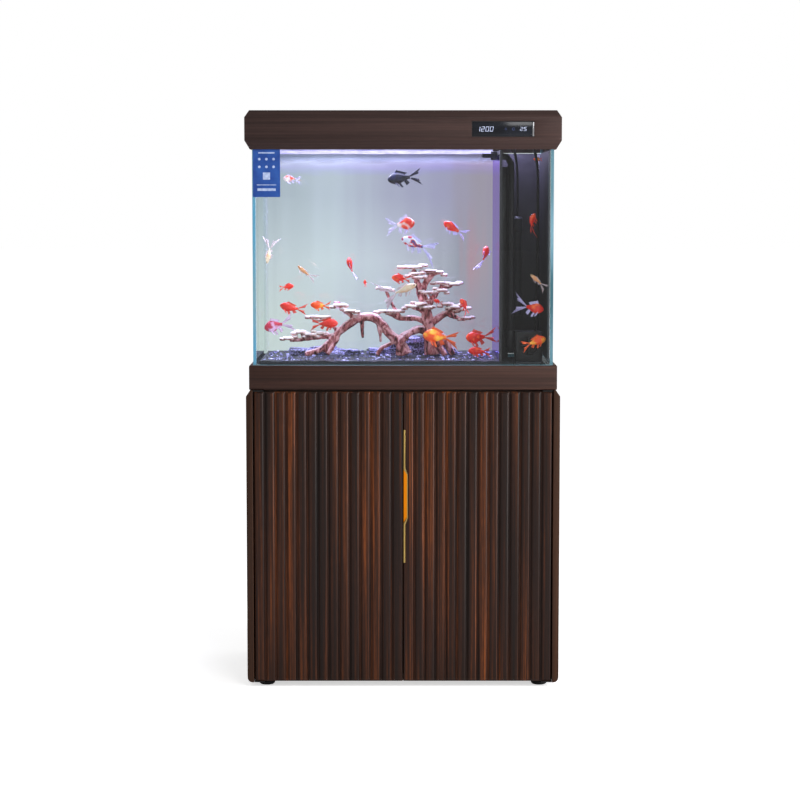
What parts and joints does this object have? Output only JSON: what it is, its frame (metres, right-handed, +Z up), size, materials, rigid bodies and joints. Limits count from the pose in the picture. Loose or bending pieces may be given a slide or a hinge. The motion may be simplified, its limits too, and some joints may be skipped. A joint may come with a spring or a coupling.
{
  "type": "aquarium on stand",
  "caption": "Cabinet aquarium: slatted two-door stand on feet, plinth, rimless glass tank with side filter bay, and a lidded light hood with a clock display.",
  "frame": {"origin": "on the floor under the middle of the cabinet", "axes": "+Z up, front faces -Y, +X to the viewer's right"},
  "size_m": [0.62, 0.362, 1.143],
  "materials": {
    "walnut_laminate": "satin dark walnut laminate",
    "carcass_board": "matt laminated board",
    "gold_metal": "satin gold",
    "zinc_steel": "satin",
    "black_rubber": "matt",
    "black_plastic": "satin black",
    "grey_plastic": "satin grey",
    "foam": "closed-cell foam",
    "tank_glass": "clear float glass",
    "silicone": "translucent silicone",
    "back_film": "pale translucent film",
    "driftwood": "weathered",
    "slate": "split slate",
    "sand": "fine dark gravel",
    "sponge": "open-cell foam",
    "ceramic_media": "porous",
    "circuit_board": "solder mask",
    "led_housing": "anodised",
    "led_diffuser": "opal",
    "display_glass": "dark gloss"
  },
  "bodies": {
    "root": {"side_panel_left": "walnut_laminate", "side_panel_right": "walnut_laminate", "plinth_frame": "walnut_laminate", "hood_frame": "walnut_laminate", "top_panel": "carcass_board", "bottom_panel": "carcass_board", "back_panel": "carcass_board", "shelf": "carcass_board", "shelf_cleat_left": "carcass_board", "shelf_cleat_right": "carcass_board", "plinth_deck": "carcass_board", "pivot_bracket_lower_left": "zinc_steel", "pivot_bracket_lower_right": "zinc_steel", "pivot_bracket_upper_left": "zinc_steel", "pivot_bracket_upper_right": "zinc_steel", "lid_hinge_pin_left": "zinc_steel", "lid_hinge_pin_right": "zinc_steel", "display_trim": "zinc_steel", "foot_front_left": "black_rubber", "foot_front_right": "black_rubber", "foot_rear_left": "black_rubber", "foot_rear_right": "black_rubber", "pump_cable": "black_rubber", "heater_cable": "black_rubber", "divider_panel": "black_plastic", "overflow_comb": "black_plastic", "compartment_liner": "black_plastic", "filter_cassette": "black_plastic", "pump_body": "black_plastic", "riser_tube": "black_plastic", "display_bezel": "black_plastic", "cable_gland": "black_plastic", "magnet_catch": "grey_plastic", "heater": "grey_plastic", "foam_mat": "foam", "glass_bottom": "tank_glass", "glass_front": "tank_glass", "glass_back": "tank_glass", "glass_left": "tank_glass", "glass_right": "tank_glass", "silicone_seams": "silicone", "background_film": "back_film", "driftwood_tree": "driftwood", "rock_pile_left": "slate", "rock_pile_right": "slate", "gravel_bed": "sand", "filter_sponge": "sponge", "bio_media": "ceramic_media", "control_board": "circuit_board", "led_bar": "led_housing", "led_diffuser": "led_diffuser", "display_window": "display_glass"},
    "left_door": {"door_left_panel": "walnut_laminate", "strike_left": "zinc_steel"},
    "right_door": {"door_right_panel": "walnut_laminate", "strike_right": "zinc_steel", "door_handle": "gold_metal"},
    "lid": {"hood_lid": "walnut_laminate"},
    "impeller": {"pump_impeller": "grey_plastic"},
    "nozzle": {"outlet_nozzle": "black_plastic"}
  },
  "joints": [
    {"name": "left_door_hinge", "type": "hinge", "parent": "root", "child": "left_door", "pos_m": [-0.288, -0.174, 0.302], "axis": [0, 0, -1], "range_deg": [0, 100]},
    {"name": "right_door_hinge", "type": "hinge", "parent": "root", "child": "right_door", "pos_m": [0.288, -0.174, 0.302], "axis": [0, 0, 1], "range_deg": [0, 100]},
    {"name": "lid_hinge", "type": "hinge", "parent": "root", "child": "lid", "pos_m": [0, 0.085, 1.137], "axis": [-1, 0, 0], "range_deg": [0, 80]},
    {"name": "impeller_spin", "type": "hinge", "parent": "root", "child": "impeller", "pos_m": [0.254, -0.065, 0.676], "axis": [0, 1, 0], "continuous": true},
    {"name": "nozzle_swivel", "type": "hinge", "parent": "root", "child": "nozzle", "pos_m": [0.18, -0.04, 1.057], "axis": [1, 0, 0], "range_deg": [-30, 30]}
  ]
}
